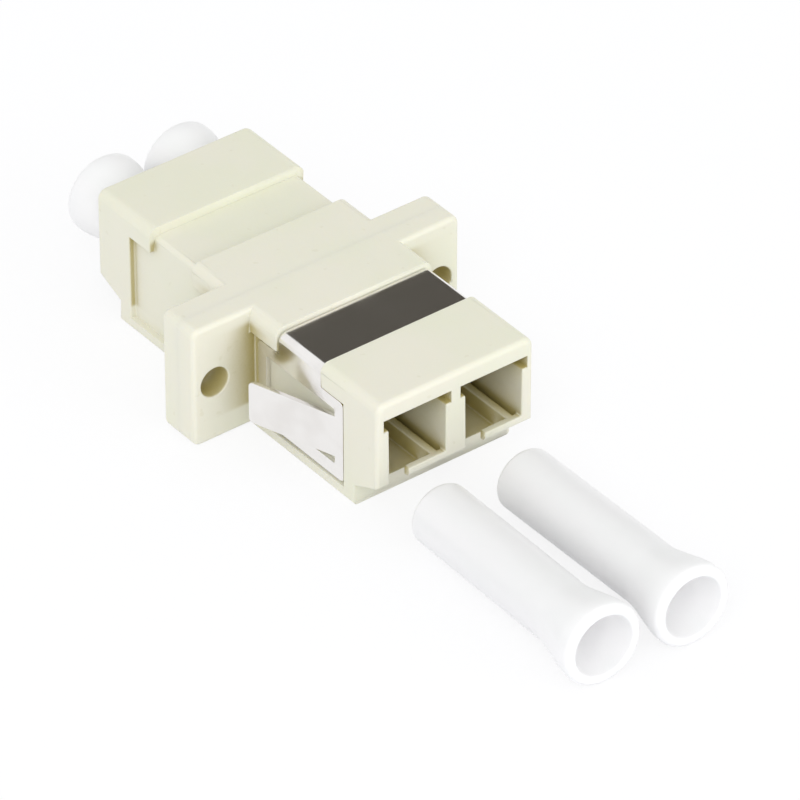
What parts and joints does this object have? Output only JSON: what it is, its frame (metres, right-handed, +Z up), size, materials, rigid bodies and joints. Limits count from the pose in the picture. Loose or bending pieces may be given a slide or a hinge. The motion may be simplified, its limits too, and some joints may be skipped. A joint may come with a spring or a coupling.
{
  "type": "lc duplex fibre adapter",
  "caption": "Flanged duplex fibre adapter with square plug ports front and back, screw ears, a folded spring panel clip, fitted dust caps, and loose dust caps lying in front.",
  "frame": {"origin": "middle of the flange's thickness, halfway between its two screw holes", "axes": "+X across the two ports, +Y along the ports towards the capped rear end, +Z up through the side with the clip's strap"},
  "size_m": [0.022, 0.0572, 0.0094],
  "materials": {
    "housing_ivory": "fine satin moulding, ivory",
    "clip_steel": "bright rolled spring steel",
    "sleeve_ceramic": "ground white zirconia",
    "cap_white": "soft translucent white"
  },
  "bodies": {
    "adapter": {"front_housing": "housing_ivory", "rear_housing": "housing_ivory", "panel_clip": "clip_steel", "split_sleeve_left": "sleeve_ceramic", "split_sleeve_right": "sleeve_ceramic", "loose_cap_left": "cap_white", "loose_cap_right": "cap_white"},
    "left_cap": {"rear_cap_left": "cap_white"},
    "right_cap": {"rear_cap_right": "cap_white"}
  },
  "joints": [
    {"name": "left_cap_pull", "type": "slide", "parent": "adapter", "child": "left_cap", "axis": [0, 1, 0], "range_m": [0, 0.0145]},
    {"name": "right_cap_pull", "type": "slide", "parent": "adapter", "child": "right_cap", "axis": [0, 1, 0], "range_m": [0, 0.0145]}
  ]
}
